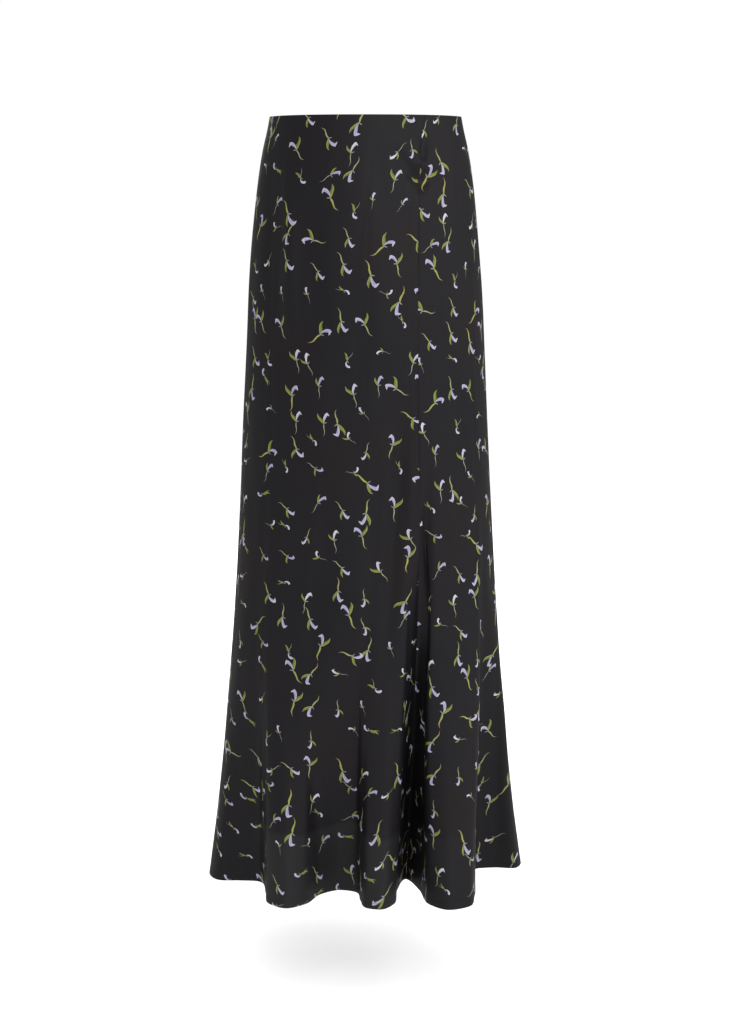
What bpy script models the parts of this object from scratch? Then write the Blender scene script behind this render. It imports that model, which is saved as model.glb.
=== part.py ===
"""Midi skirt in printed satin, in the shape it has when worn, with no wearer in it.

Blender 4.5, metres, +Z up. The origin is the middle of the waist opening, level with the top edge, where
the wearer's waist holds the skirt. -Y is the front and +X is the side of the front seam.

The cloth is one surface with two coordinates: around, which follows the hem from fold to fold, and drop,
the distance below the waist edge. A smooth body of sections gives its outline, and the fold lines pull it in
and out towards the hem. Each panel is a wall on a stretch of that surface, between two seams.
"""

from collections import namedtuple

import bmesh
import bpy
import numpy as np

# Driving sizes, in metres.
LENGTH = 0.95
CLOTH_WALL = 0.0014
SEAM_GAP = 0.0003
LINING_WALL = 0.0010
LINING_TOP = 0.004
LINING_LENGTH = 0.860

# The waist edge dips a little at both sides. The dip fades out at its reach below the edge.
EDGE_DIP = 0.0010
EDGE_DIP_REACH = 0.08
EDGE_DIP_POWER = 4

# The fold lines lean from their waist bearing to their thigh bearing within about this drop.
LEAN_DROP = 0.085

# How fast a fold grows from its start to the hem: 1 is steady, and more is slow at first.
FOLD_GROWTH = 1.4

# The pucker where the front seam crosses the high hip.
PUCKER_X = 0.0640
PUCKER_DROP = 0.0850
PUCKER_DEPTH = 0.0032
PUCKER_WIDTH = 0.0110
PUCKER_HEIGHT = 0.0095

# Edges that turn more than this, in radians, are drawn sharp.
SHARP_FROM = 1.0

# Where the surface's points lie: this far apart around the hem, and at these drops.
HEM_SPACING = 0.0188
CLOTH_DROPS = (
    0.0, 0.030, 0.060, 0.076, 0.085, 0.096, 0.120, 0.180, 0.255, 0.340, 0.420,
    0.480, 0.530, 0.580, 0.630, 0.680, 0.730, 0.780, 0.830, 0.875, 0.915, 0.950,
)

# The lining's rows. Its ease is how far it stays inside the cloth, on top of the seam gap.
LiningRow = namedtuple("LiningRow", "drop ease")
LINING_ROWS = (
    LiningRow(LINING_TOP, 0.0000),
    LiningRow(0.060, 0.0006),
    LiningRow(0.076, 0.0006),
    LiningRow(0.085, 0.0006),
    LiningRow(0.096, 0.0006),
    LiningRow(0.120, 0.0006),
    LiningRow(0.180, 0.0007),
    LiningRow(0.340, 0.0007),
    LiningRow(0.480, 0.0007),
    LiningRow(0.530, 0.0007),
    LiningRow(0.580, 0.0007),
    LiningRow(0.630, 0.0008),
    LiningRow(0.680, 0.0010),
    LiningRow(0.730, 0.0014),
    LiningRow(0.780, 0.0019),
    LiningRow(0.830, 0.0025),
    LiningRow(LINING_LENGTH, 0.0028),
)

# The body without its folds. Half its width, and its reach to the front and to the back, at each drop.
Section = namedtuple("Section", "drop half_width front back")
SECTIONS = (
    Section(0.000, 0.1160, 0.0890, 0.0880),
    Section(0.012, 0.1182, 0.0912, 0.0905),
    Section(0.040, 0.1245, 0.0955, 0.0955),
    Section(0.085, 0.1315, 0.1020, 0.1055),
    Section(0.130, 0.1364, 0.1065, 0.1150),
    Section(0.200, 0.1423, 0.1105, 0.1235),
    Section(0.280, 0.1464, 0.1115, 0.1240),
    Section(0.380, 0.1513, 0.1110, 0.1200),
    Section(0.500, 0.1574, 0.1120, 0.1185),
    Section(0.620, 0.1652, 0.1145, 0.1205),
    Section(0.740, 0.1752, 0.1180, 0.1250),
    Section(0.850, 0.1862, 0.1215, 0.1290),
    Section(0.950, 0.1985, 0.1250, 0.1340),
)

# One row for each crest, valley and wall of the folds, in order around the hem. A bearing is 0 at the front,
# 90 at +X and 180 at the back. The hem place is where the line ends, and it leaves the body at the drop start.
FoldLine = namedtuple("FoldLine", "name waist_bearing thigh_bearing hem_x hem_y start")
FOLD_LINES = (
    FoldLine("left seam", -94, -94, -0.1950, 0.0160, 0.74),
    FoldLine("left side", -87, -87, -0.1985, -0.0110, 0.74),
    FoldLine("left side front", -77, -77, -0.1870, -0.0345, 0.72),
    FoldLine("left shelf", -67, -66, -0.1570, -0.0385, 0.66),
    FoldLine("left valley", -58, -57, -0.1345, -0.0420, 0.64),
    FoldLine("left lobe wall", -50, -49, -0.1235, -0.0880, 0.62),
    FoldLine("left lobe corner", -44, -44, -0.1178, -0.1270, 0.62),
    FoldLine("left lobe crest", -35, -37, -0.0970, -0.1430, 0.64),
    FoldLine("left lobe inside", -25, -29, -0.0740, -0.1290, 0.66),
    FoldLine("middle valley left", -14, -20, -0.0535, -0.0890, 0.66),
    FoldLine("middle valley", -4, -11, -0.0315, -0.0750, 0.64),
    FoldLine("middle valley right", 3, -4.5, -0.0130, -0.0820, 0.62),
    FoldLine("middle lobe wall", 8, -1.0, -0.0065, -0.1140, 0.60),
    FoldLine("middle lobe corner", 14, 4.0, 0.0025, -0.1430, 0.59),
    FoldLine("middle lobe crest", 20, 9.5, 0.0195, -0.1475, 0.57),
    FoldLine("middle lobe right", 26, 15.5, 0.0342, -0.1290, 0.54),
    FoldLine("deep valley left", 34, 21.5, 0.0385, -0.0780, 0.48),
    FoldLine("front seam", 37, 24.8, 0.0510, -0.0330, 0.47),
    FoldLine("deep valley right", 40, 27.6, 0.0675, -0.0760, 0.48),
    FoldLine("right lobe left", 43.5, 31.2, 0.0790, -0.1310, 0.50),
    FoldLine("right lobe crest", 49, 40.0, 0.1000, -0.1490, 0.52),
    FoldLine("right lobe corner", 56, 51.0, 0.1262, -0.1365, 0.53),
    FoldLine("right lobe wall", 60, 57.0, 0.1350, -0.0960, 0.53),
    FoldLine("right valley wall", 64, 61.0, 0.1360, -0.0340, 0.53),
    FoldLine("right valley", 70, 67.0, 0.1420, 0.0090, 0.56),
    FoldLine("right shelf", 77, 76.0, 0.1640, 0.0140, 0.62),
    FoldLine("right side", 86, 86.0, 0.1930, 0.0120, 0.72),
    FoldLine("right seam", 94, 94.0, 0.2005, 0.0300, 0.74),
    FoldLine("back right lobe", 105, 105, 0.1950, 0.0590, 0.70),
    FoldLine("back right lobe wall", 114, 114, 0.1710, 0.0820, 0.66),
    FoldLine("back right valley", 122, 122, 0.1380, 0.0780, 0.62),
    FoldLine("back second lobe wall", 129, 129, 0.1210, 0.1020, 0.62),
    FoldLine("back second lobe", 138, 138, 0.1100, 0.1400, 0.62),
    FoldLine("back second lobe end", 147, 147, 0.0860, 0.1480, 0.62),
    FoldLine("back middle valley", 156, 156, 0.0600, 0.1120, 0.60),
    FoldLine("back third lobe wall", 163, 163, 0.0430, 0.1190, 0.60),
    FoldLine("back third lobe", 171, 171, 0.0270, 0.1520, 0.62),
    FoldLine("back third lobe end", 179, 179, -0.0010, 0.1500, 0.64),
    FoldLine("back left valley", 188, 188, -0.0240, 0.1180, 0.64),
    FoldLine("back fourth lobe wall", 197, 197, -0.0470, 0.1230, 0.62),
    FoldLine("back fourth lobe", 206, 206, -0.0700, 0.1520, 0.62),
    FoldLine("back fourth lobe end", 215, 215, -0.0970, 0.1440, 0.64),
    FoldLine("back side valley", 224, 224, -0.1180, 0.1100, 0.66),
    FoldLine("back left lobe wall", 233, 233, -0.1400, 0.1060, 0.68),
    FoldLine("back left lobe", 243, 243, -0.1700, 0.0960, 0.70),
    FoldLine("back left lobe end", 253, 253, -0.1840, 0.0640, 0.72),
    FoldLine("left side valley", 260, 260, -0.1840, 0.0380, 0.74),
)

Panel = namedtuple("Panel", "name first_seam last_seam")
PANELS = (
    Panel("front_panel", "left seam", "front seam"),
    Panel("front_side_panel", "front seam", "right seam"),
    Panel("back_panel", "right seam", "left seam"),
)

Finish = namedtuple("Finish", "name colour roughness")
SATIN = Finish("printed satin", (0.018, 0.017, 0.020, 1.0), 0.42)
LINING = Finish("lining cloth", (0.010, 0.010, 0.011, 1.0), 0.60)

FULL_TURN = 360

# Step of the differences that give tangents and normals, in metres.
DIFFERENCE = 0.0004

# How many short chords measure the hem between two seams.
HEM_CHORDS = 1200


def through_knots(at, knots, values):
    """Values at the places at, on a smooth curve through the knots. The slope at a knot is the weighted mean
    of the slopes beside it."""
    knots = np.asarray(knots, float)
    values = np.asarray(values, float)
    step = np.diff(knots)
    slope = np.diff(values) / step
    inner = (slope[:-1] * step[1:] + slope[1:] * step[:-1]) / (step[:-1] + step[1:])
    tangent = np.concatenate(([slope[0]], inner, [slope[-1]]))
    low = np.clip(np.searchsorted(knots, at, side="right") - 1, 0, len(step) - 1)
    width = step[low]
    t = (at - knots[low]) / width
    rise = 3 * t**2 - 2 * t**3
    return (
        values[low] * (1 - rise)
        + values[low + 1] * rise
        + tangent[low] * width * (t**3 - 2 * t**2 + t)
        + tangent[low + 1] * width * (t**3 - t**2)
    )


def hem_knots():
    """The place of each fold line around the hem, in metres of straight chords, and the whole way round."""
    places = np.array([(line.hem_x, line.hem_y) for line in FOLD_LINES])
    chords = np.linalg.norm(np.roll(places, -1, axis=0) - places, axis=1)
    return np.concatenate(([0.0], np.cumsum(chords)[:-1])), chords.sum()


KNOTS, HEM_ROUND = hem_knots()
SEAM_PLACES = {line.name: place for line, place in zip(FOLD_LINES, KNOTS)}


def fold_value(field, around, turn=0.0):
    """A column of the fold lines at any place around the hem. turn is what the column gains in a whole turn."""
    column = np.array([getattr(line, field) for line in FOLD_LINES], float)
    knots = np.concatenate((KNOTS - HEM_ROUND, KNOTS, KNOTS + HEM_ROUND))
    values = np.concatenate((column - turn, column, column + turn))
    return through_knots(around, knots, values)


def body_place(bearing, drop):
    """A point's x and y on the body without folds."""
    drops = [section.drop for section in SECTIONS]
    half_width, front, back = (
        through_knots(drop, drops, [getattr(section, field) for section in SECTIONS])
        for field in ("half_width", "front", "back")
    )
    reach = np.where(np.cos(bearing) > 0, front, back)
    return half_width * np.sin(bearing), -reach * np.cos(bearing)


def fold_share(around, drop):
    """How far a point has left the body for its hem place, from 0 to 1."""
    start = fold_value("start", around)
    return np.clip((drop - start) / (LENGTH - start), 0, 1) ** FOLD_GROWTH


def smooth_surface(around, drop):
    """The cloth's outer points with its folds and without its pucker."""
    thigh = np.radians(fold_value("thigh_bearing", around, turn=FULL_TURN))
    waist = np.radians(fold_value("waist_bearing", around, turn=FULL_TURN))
    bearing = thigh + (waist - thigh) * np.exp(-drop / LEAN_DROP)
    x, y = body_place(bearing, drop)
    hem_x, hem_y = body_place(thigh, np.full_like(drop, LENGTH))
    share = fold_share(around, drop)
    x = x + share * (fold_value("hem_x", around) - hem_x)
    y = y + share * (fold_value("hem_y", around) - hem_y)
    dip = EDGE_DIP * np.sin(bearing) ** EDGE_DIP_POWER * np.clip(1 - drop / EDGE_DIP_REACH, 0, 1)
    return np.stack((x, y, -drop - dip), axis=-1)


def across(surface, around, drop):
    """The surface's unit tangent around the skirt and its outward normal."""
    ahead = surface(around + DIFFERENCE, drop) - surface(around - DIFFERENCE, drop)
    below = surface(around, drop + DIFFERENCE) - surface(around, drop - DIFFERENCE)
    tangent = ahead / np.linalg.norm(ahead, axis=-1, keepdims=True)
    normal = np.cross(below, ahead)
    return tangent, normal / np.linalg.norm(normal, axis=-1, keepdims=True)


def cloth_surface(around, drop):
    """The cloth's outer points, with the pucker on the front seam pressed in."""
    points = smooth_surface(around, drop)
    aside = (points[..., 0] - PUCKER_X) / PUCKER_WIDTH
    away = (drop - PUCKER_DROP) / PUCKER_HEIGHT
    front = points[..., 1] < 0
    press = PUCKER_DEPTH * np.exp(-(aside**2) - away**2) * front
    _, normal = across(smooth_surface, around, drop)
    return points - normal * press[..., None]


def spaced_places(first, last):
    """Places from one seam to the next, evenly spaced along the hem."""
    fine = np.linspace(first, last, HEM_CHORDS)
    hem = cloth_surface(fine, np.full_like(fine, LENGTH))
    along = np.concatenate(([0.0], np.cumsum(np.linalg.norm(np.diff(hem, axis=0), axis=1))))
    count = round(along[-1] / HEM_SPACING) + 1
    return np.interp(np.linspace(0, along[-1], count), along, fine)


Wall = namedtuple("Wall", "sheet outer inner tangent")


def wall_between(places, drops, depth, thickness):
    """A wall that lies the given depth inside the cloth's surface, as rows of points from the top down."""
    drop, around = np.meshgrid(drops, places, indexing="ij")
    sheet = cloth_surface(around, drop)
    tangent, normal = across(cloth_surface, around, drop)
    outer = sheet - normal * depth
    return Wall(sheet, outer, outer - normal * thickness, tangent)


def split_quad(sheet, row, column, beside):
    """The two triangles of one quad, as (row, column) corners. They meet on the quad's shorter diagonal."""
    top, under = (row, column), (row + 1, column)
    top_beside, under_beside = (row, beside), (row + 1, beside)
    falling = np.linalg.norm(sheet[top] - sheet[under_beside])
    rising = np.linalg.norm(sheet[under] - sheet[top_beside])
    if falling < rising:
        return (top, under, under_beside), (top, under_beside, top_beside)
    return (top, under, top_beside), (under, under_beside, top_beside)


def add_wall(name, wall, closed, finish, collection):
    """A wall as a closed solid. A closed wall runs all the way round. Both its faces are split along the same
    diagonals, those of the cloth's surface, so that walls on the same surface stay clear of each other."""
    mesh = bmesh.new()
    rows, columns = wall.outer.shape[:2]
    outer = [[mesh.verts.new(point) for point in row] for row in wall.outer]
    inner = [[mesh.verts.new(point) for point in row] for row in wall.inner]
    last = columns if closed else columns - 1
    for row in range(rows - 1):
        for column in range(last):
            for corners in split_quad(wall.sheet, row, column, (column + 1) % columns):
                mesh.faces.new([outer[r][c] for r, c in corners])
                mesh.faces.new([inner[r][c] for r, c in reversed(corners)])
    for row in (0, rows - 1):
        for column in range(last):
            beside = (column + 1) % columns
            mesh.faces.new([outer[row][column], outer[row][beside], inner[row][beside]])
            mesh.faces.new([outer[row][column], inner[row][beside], inner[row][column]])
    if not closed:
        for row in range(rows - 1):
            for column in (0, columns - 1):
                mesh.faces.new([outer[row][column], outer[row + 1][column], inner[row + 1][column]])
                mesh.faces.new([outer[row][column], inner[row + 1][column], inner[row][column]])
    bmesh.ops.recalc_face_normals(mesh, faces=mesh.faces[:])
    data = bpy.data.meshes.new(name)
    mesh.to_mesh(data)
    mesh.free()
    data.shade_smooth()
    data.set_sharp_from_angle(angle=SHARP_FROM)
    data.materials.append(material_for(finish))
    thing = bpy.data.objects.new(name, data)
    collection.objects.link(thing)
    return thing


def material_for(finish):
    """The Blender material of a finish, made once."""
    material = bpy.data.materials.get(finish.name)
    if material is None:
        material = bpy.data.materials.new(finish.name)
        material.use_nodes = True
        shader = material.node_tree.nodes["Principled BSDF"]
        shader.inputs["Base Color"].default_value = finish.colour
        shader.inputs["Roughness"].default_value = finish.roughness
        shader.inputs["Metallic"].default_value = 0.0
    return material


def panel_places(panel):
    """Places across a panel, from its first seam to its last."""
    first = SEAM_PLACES[panel.first_seam]
    last = SEAM_PLACES[panel.last_seam]
    if last <= first:
        last += HEM_ROUND
    return spaced_places(first, last)


def add_panel(panel, collection):
    """A panel of the outer cloth, with its two side edges drawn back from the seams by half the seam gap."""
    wall = wall_between(panel_places(panel), CLOTH_DROPS, 0.0, CLOTH_WALL)
    for face in (wall.outer, wall.inner):
        face[:, 0] += wall.tangent[:, 0] * SEAM_GAP / 2
        face[:, -1] -= wall.tangent[:, -1] * SEAM_GAP / 2
    return add_wall(panel.name, wall, False, SATIN, collection)


def add_lining(collection):
    """The lining: a shorter tube that follows the cloth's folds closely on the inside."""
    places = np.concatenate([panel_places(panel)[:-1] for panel in PANELS])
    drops, ease = np.array(LINING_ROWS).T
    wall = wall_between(places, drops, (CLOTH_WALL + SEAM_GAP + ease)[:, None, None], LINING_WALL)
    return add_wall("lining", wall, True, LINING, collection)


def main():
    for thing in list(bpy.data.objects):
        bpy.data.objects.remove(thing, do_unlink=True)
    collection = bpy.data.collections.new("midi_skirt")
    bpy.context.scene.collection.children.link(collection)
    for panel in PANELS:
        add_panel(panel, collection)
    add_lining(collection)


main()
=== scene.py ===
"""Looks of a midi skirt in printed satin, laid out as a Blender add-on and run as a script.

Metres, +Z up, -Y the front, +X the side of the front seam. The origin is the middle of the waist opening.
Each panel is a thin cloth on the surface that its solid has, cut at the seams, with its turned edges, its
creases and its print at real size. The print's coordinates are metres along the cloth and below the waist.
"""

import math
from collections import namedtuple
from functools import partial

import bpy
import numpy as np
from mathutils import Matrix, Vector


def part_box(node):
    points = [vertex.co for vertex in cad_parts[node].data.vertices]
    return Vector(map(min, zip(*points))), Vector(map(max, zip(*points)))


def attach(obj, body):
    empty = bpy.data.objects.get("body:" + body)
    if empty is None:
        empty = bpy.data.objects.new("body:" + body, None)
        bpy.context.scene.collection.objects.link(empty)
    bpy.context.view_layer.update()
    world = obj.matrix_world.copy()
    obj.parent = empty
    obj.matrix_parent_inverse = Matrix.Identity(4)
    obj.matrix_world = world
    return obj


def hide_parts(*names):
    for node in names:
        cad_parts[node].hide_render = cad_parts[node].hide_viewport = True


bl_info = {
    "name": "Printed Satin Midi Skirt",
    "version": (1, 0, 0),
    "blender": (4, 5, 0),
    "location": "3D View > Sidebar > Skirt",
    "description": "Adds the cloth, lining, hem stitches and studio of a midi skirt in printed satin",
    "category": "Add Mesh",
}

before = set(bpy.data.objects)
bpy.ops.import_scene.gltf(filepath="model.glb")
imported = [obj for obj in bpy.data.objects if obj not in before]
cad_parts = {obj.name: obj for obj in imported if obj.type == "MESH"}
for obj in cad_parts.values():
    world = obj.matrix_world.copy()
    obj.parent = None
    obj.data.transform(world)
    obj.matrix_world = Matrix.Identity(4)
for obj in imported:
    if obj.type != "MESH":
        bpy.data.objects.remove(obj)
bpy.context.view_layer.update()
LENGTH = -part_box("front_panel")[0].z

# The skirt's form, the same as in the solids.
CLOTH_WALL = 0.0014
SEAM_GAP = 0.0003
LINING_TOP = 0.004
LINING_LENGTH = -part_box("lining")[0].z
EDGE_DIP = 0.0010
EDGE_DIP_REACH = 0.08
EDGE_DIP_POWER = 4
LEAN_DROP = 0.085
FOLD_GROWTH = 1.4
FULL_TURN = 360
HALF_TURN = 180
DIFFERENCE = 0.0004

# How far the lining stays inside the cloth at each drop, on top of the seam gap.
LINING_EASE_DROPS = (0.004, 0.060, 0.630, 0.680, 0.730, 0.780, 0.830, 0.860)
LINING_EASE = (0.0000, 0.0006, 0.0008, 0.0010, 0.0014, 0.0019, 0.0025, 0.0028)

# The body without its folds. Half its width, and its reach to the front and to the back, at each drop.
Section = namedtuple("Section", "drop half_width front back")
SECTIONS = (
    Section(0.000, 0.1160, 0.0890, 0.0880),
    Section(0.012, 0.1182, 0.0912, 0.0905),
    Section(0.040, 0.1245, 0.0955, 0.0955),
    Section(0.085, 0.1315, 0.1020, 0.1055),
    Section(0.130, 0.1364, 0.1065, 0.1150),
    Section(0.200, 0.1423, 0.1105, 0.1235),
    Section(0.280, 0.1464, 0.1115, 0.1240),
    Section(0.380, 0.1513, 0.1110, 0.1200),
    Section(0.500, 0.1574, 0.1120, 0.1185),
    Section(0.620, 0.1652, 0.1145, 0.1205),
    Section(0.740, 0.1752, 0.1180, 0.1250),
    Section(0.850, 0.1862, 0.1215, 0.1290),
    Section(0.950, 0.1985, 0.1250, 0.1340),
)

# One row for each crest, valley and wall of the folds, in order around the hem. A bearing is 0 at the front,
# 90 at +X and 180 at the back. A line leaves the body at the drop start and ends at its hem place.
FoldLine = namedtuple("FoldLine", "name waist_bearing thigh_bearing hem_x hem_y start")
FOLD_LINES = (
    FoldLine("left seam", -94, -94, -0.1950, 0.0160, 0.74),
    FoldLine("left side", -87, -87, -0.1985, -0.0110, 0.74),
    FoldLine("left side front", -77, -77, -0.1870, -0.0345, 0.72),
    FoldLine("left shelf", -67, -66, -0.1570, -0.0385, 0.66),
    FoldLine("left valley", -58, -57, -0.1345, -0.0420, 0.64),
    FoldLine("left lobe wall", -50, -49, -0.1235, -0.0880, 0.62),
    FoldLine("left lobe corner", -44, -44, -0.1178, -0.1270, 0.62),
    FoldLine("left lobe crest", -35, -37, -0.0970, -0.1430, 0.64),
    FoldLine("left lobe inside", -25, -29, -0.0740, -0.1290, 0.66),
    FoldLine("middle valley left", -14, -20, -0.0535, -0.0890, 0.66),
    FoldLine("middle valley", -4, -11, -0.0315, -0.0750, 0.64),
    FoldLine("middle valley right", 3, -4.5, -0.0130, -0.0820, 0.62),
    FoldLine("middle lobe wall", 8, -1.0, -0.0065, -0.1140, 0.60),
    FoldLine("middle lobe corner", 14, 4.0, 0.0025, -0.1430, 0.59),
    FoldLine("middle lobe crest", 20, 9.5, 0.0195, -0.1475, 0.57),
    FoldLine("middle lobe right", 26, 15.5, 0.0342, -0.1290, 0.54),
    FoldLine("deep valley left", 34, 21.5, 0.0385, -0.0780, 0.48),
    FoldLine("front seam", 37, 24.8, 0.0510, -0.0330, 0.47),
    FoldLine("deep valley right", 40, 27.6, 0.0675, -0.0760, 0.48),
    FoldLine("right lobe left", 43.5, 31.2, 0.0790, -0.1310, 0.50),
    FoldLine("right lobe crest", 49, 40.0, 0.1000, -0.1490, 0.52),
    FoldLine("right lobe corner", 56, 51.0, 0.1262, -0.1365, 0.53),
    FoldLine("right lobe wall", 60, 57.0, 0.1350, -0.0960, 0.53),
    FoldLine("right valley wall", 64, 61.0, 0.1360, -0.0340, 0.53),
    FoldLine("right valley", 70, 67.0, 0.1420, 0.0090, 0.56),
    FoldLine("right shelf", 77, 76.0, 0.1640, 0.0140, 0.62),
    FoldLine("right side", 86, 86.0, 0.1930, 0.0120, 0.72),
    FoldLine("right seam", 94, 94.0, 0.2005, 0.0300, 0.74),
    FoldLine("back right lobe", 105, 105, 0.1950, 0.0590, 0.70),
    FoldLine("back right lobe wall", 114, 114, 0.1710, 0.0820, 0.66),
    FoldLine("back right valley", 122, 122, 0.1380, 0.0780, 0.62),
    FoldLine("back second lobe wall", 129, 129, 0.1210, 0.1020, 0.62),
    FoldLine("back second lobe", 138, 138, 0.1100, 0.1400, 0.62),
    FoldLine("back second lobe end", 147, 147, 0.0860, 0.1480, 0.62),
    FoldLine("back middle valley", 156, 156, 0.0600, 0.1120, 0.60),
    FoldLine("back third lobe wall", 163, 163, 0.0430, 0.1190, 0.60),
    FoldLine("back third lobe", 171, 171, 0.0270, 0.1520, 0.62),
    FoldLine("back third lobe end", 179, 179, -0.0010, 0.1500, 0.64),
    FoldLine("back left valley", 188, 188, -0.0240, 0.1180, 0.64),
    FoldLine("back fourth lobe wall", 197, 197, -0.0470, 0.1230, 0.62),
    FoldLine("back fourth lobe", 206, 206, -0.0700, 0.1520, 0.62),
    FoldLine("back fourth lobe end", 215, 215, -0.0970, 0.1440, 0.64),
    FoldLine("back side valley", 224, 224, -0.1180, 0.1100, 0.66),
    FoldLine("back left lobe wall", 233, 233, -0.1400, 0.1060, 0.68),
    FoldLine("back left lobe", 243, 243, -0.1700, 0.0960, 0.70),
    FoldLine("back left lobe end", 253, 253, -0.1840, 0.0640, 0.72),
    FoldLine("left side valley", 260, 260, -0.1840, 0.0380, 0.74),
)

# The panels. flat and area are the cut before it was sewn, columns the cloth's points across, and print_shift
# where the panel's cut fell on the printed length.
Panel = namedtuple("Panel", "piece node first_seam last_seam flat area columns print_shift")
PANELS = (
    Panel("cloth_front", "front_panel", "left seam", "front seam", (0.550, 0.960), 0.300, 150, (0.021, 0.0)),
    Panel(
        "cloth_front_side", "front_side_panel", "front seam", "right seam",
        (0.383, 0.955), 0.175, 104, (0.094, 0.083),
    ),
    Panel("cloth_back", "back_panel", "right seam", "left seam", (0.638, 0.957), 0.415, 170, (0.052, 0.141)),
)

# The pucker where the front seam crosses the high hip.
PUCKER_X = 0.0640
PUCKER_DROP = 0.0850
PUCKER_DEPTH = 0.0032
PUCKER_WIDTH = 0.0110
PUCKER_HEIGHT = 0.0095

# The cloth itself. Its map gives each point's place on the flat cut cloth.
CLOTH_MAP = "cut cloth"
CLOTH_THICKNESS = 0.00055
TURNED_THICKNESS = 0.0011
LINING_THICKNESS = 0.00035
LINING_TURNED = 0.0008
HEM_TURN = 0.0085
HEM_STITCH = 0.0072
TOP_TURN = 0.0050
TURN_STEP = 0.0006
SEAM_ROLL = 0.00028
SEAM_OPENING = 0.00003
STITCH_DENT = 0.00022
STITCH_DENT_WIDTH = 0.0009
HEM_SWELL = 0.00025

# How finely the cloth is drawn: places that measure a row, rows, and the columns beside a seam.
FINE_PLACES = 1100
ROW_SPACING = 0.0042
EDGE_ROWS = (0.0, 0.00012, 0.0003, 0.0006, 0.0012, 0.0020, 0.0030, 0.0042, 0.0058)
HEM_ROWS = (0.0064, 0.0068, 0.0072, 0.0076, 0.0080, 0.0085, 0.0091, 0.0105)
SEAM_COLUMNS = (0.0, 0.00012, 0.0003, 0.0008, 0.0018, 0.0036, 0.0060)
LINING_COLUMNS = 340
LINING_ROW_SPACING = 0.0075
LINING_HEM_ROWS = (0.0, 0.0002, 0.0005, 0.0010, 0.0040, 0.0080, 0.0102, 0.0110, 0.0116, 0.0122)

# Soft folds and dents in the cloth, on the front and on the back. A place is x and the drop below the waist,
# bend is how far the line bows aside, and a negative depth is a ridge.
Crease = namedtuple("Crease", "x drop end_x end_drop bend depth width")
FRONT_CREASES = (
    Crease(0.0700, 0.000, 0.0655, 0.076, 0.0008, 0.0036, 0.0046),
    Crease(0.0850, 0.026, 0.0725, 0.072, -0.0020, -0.0018, 0.0064),
    Crease(0.0490, 0.067, 0.0780, 0.080, 0.0, 0.0054, 0.0074),
    Crease(0.0580, 0.053, 0.0760, 0.061, 0.0, -0.0030, 0.0042),
    Crease(0.0300, 0.036, 0.0660, 0.090, 0.0020, 0.0034, 0.0070),
    Crease(0.0640, 0.090, 0.0960, 0.058, 0.0020, 0.0022, 0.0062),
    Crease(0.0480, 0.100, 0.0420, 0.200, 0.0030, 0.0014, 0.0090),
    Crease(-0.0918, 0.030, -0.0885, 0.310, 0.0020, -0.0040, 0.0085),
    Crease(-0.1080, 0.030, -0.1120, 0.300, -0.0020, 0.0034, 0.0110),
    Crease(-0.0660, 0.090, -0.0560, 0.250, -0.0030, 0.0018, 0.0120),
    Crease(0.0470, 0.300, 0.0190, 0.680, 0.0030, 0.0076, 0.0110),
    Crease(0.0150, 0.400, -0.0060, 0.700, 0.0040, 0.0034, 0.0120),
    Crease(0.0765, 0.400, 0.0700, 0.700, 0.0, 0.0088, 0.0066),
    Crease(0.0880, 0.250, 0.0900, 0.560, 0.0030, 0.0022, 0.0100),
    Crease(0.1080, 0.220, 0.1180, 0.560, -0.0030, 0.0020, 0.0110),
    Crease(0.1380, 0.480, 0.1310, 0.945, 0.0006, -0.0048, 0.0034),
    Crease(-0.0500, 0.430, -0.0680, 0.700, 0.0050, 0.0026, 0.0140),
    Crease(-0.0980, 0.440, -0.1200, 0.700, -0.0040, -0.0024, 0.0130),
    Crease(0.0120, 0.030, 0.0200, 0.130, 0.0020, 0.0012, 0.0100),
    Crease(-0.0050, 0.180, -0.0170, 0.340, 0.0040, 0.0014, 0.0130),
)
BACK_CREASES = (
    Crease(-0.0720, 0.010, -0.0860, 0.230, 0.0040, 0.0036, 0.0100),
    Crease(-0.0530, 0.030, -0.0600, 0.200, 0.0020, -0.0022, 0.0110),
    Crease(0.0780, 0.020, 0.0960, 0.270, -0.0040, 0.0032, 0.0110),
    Crease(0.0400, 0.060, 0.0310, 0.210, 0.0030, 0.0016, 0.0120),
    Crease(-0.0110, 0.050, 0.0040, 0.170, 0.0020, 0.0014, 0.0110),
    Crease(-0.0400, 0.290, -0.0640, 0.660, 0.0050, 0.0052, 0.0120),
    Crease(0.0140, 0.360, 0.0220, 0.640, -0.0030, 0.0040, 0.0110),
    Crease(0.0620, 0.270, 0.0740, 0.660, 0.0050, 0.0048, 0.0120),
    Crease(0.1010, 0.360, 0.1180, 0.640, -0.0040, -0.0026, 0.0110),
    Crease(-0.0960, 0.350, -0.1120, 0.700, -0.0040, 0.0034, 0.0120),
    Crease(-0.0200, 0.440, -0.0230, 0.680, 0.0020, -0.0022, 0.0090),
)

# The power by which a crease fades toward its ends, and how far from the middle a side's creases are whole.
CREASE_FADE = 1.2
FACE_BLEND = 0.02

# Slow swells of the hanging cloth: height, whole waves around the skirt, wave length down, and where each one
# starts. They sway aside on the way down, and have their full height from the drop SWELL_TOP on.
Swell = namedtuple("Swell", "height waves down start")
SWELLS = (
    Swell(0.00034, 17, 0.41, 0.7),
    Swell(0.00024, 29, 0.29, 2.1),
    Swell(0.00014, 47, 0.17, 4.0),
)
SWELL_SWAY = 1.7
SWELL_SWAY_DROP = 0.11
SWELL_TOP = 0.12

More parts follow.
